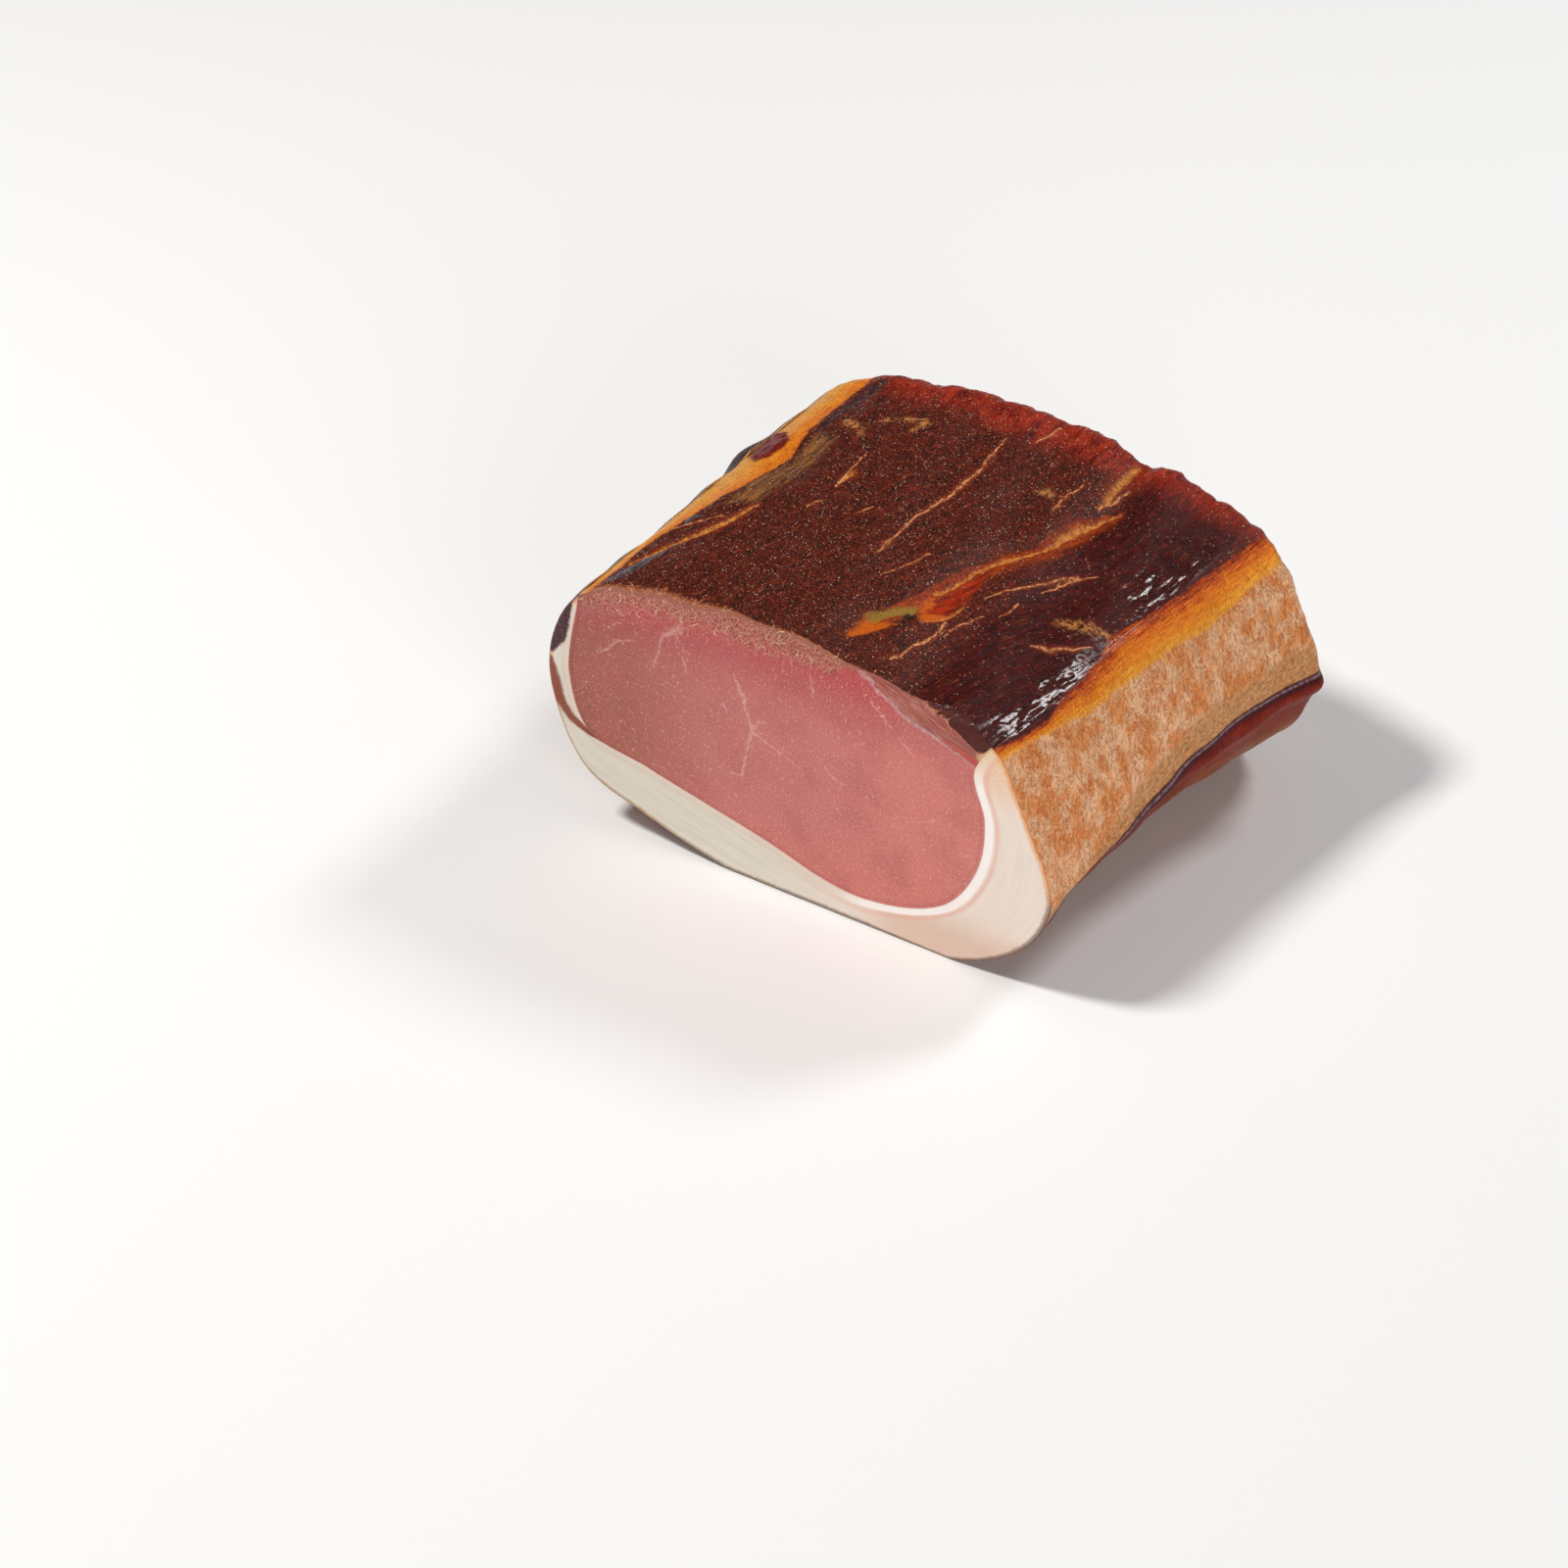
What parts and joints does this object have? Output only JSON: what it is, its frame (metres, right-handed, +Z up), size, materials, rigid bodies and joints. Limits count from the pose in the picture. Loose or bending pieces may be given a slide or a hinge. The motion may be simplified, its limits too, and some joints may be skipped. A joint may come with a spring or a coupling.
{
  "type": "back bacon block",
  "caption": "Block of smoked back bacon: a lean pork loin eye with a dark smoked top, wrapped at its sides and underside by a cap of fat and rind, cut straight at one end.",
  "frame": {"origin": "on the ground, under the middle of the block's footprint", "axes": "+X across the block, towards the side with the rind's lip; +Y along the block, from the fresh cut to the smoked end; +Z up"},
  "size_m": [0.146, 0.1196, 0.0674],
  "materials": {
    "lean": "moist pink meat on the cut, dark red-brown smoked crust with a soft gloss on the top",
    "fat": "creamy white fat on the cut, tan to orange smoked fat at the sides, brown glossy rind below"
  },
  "bodies": {
    "root": {"lean": "lean", "fat_cap": "fat"}
  },
  "joints": []
}
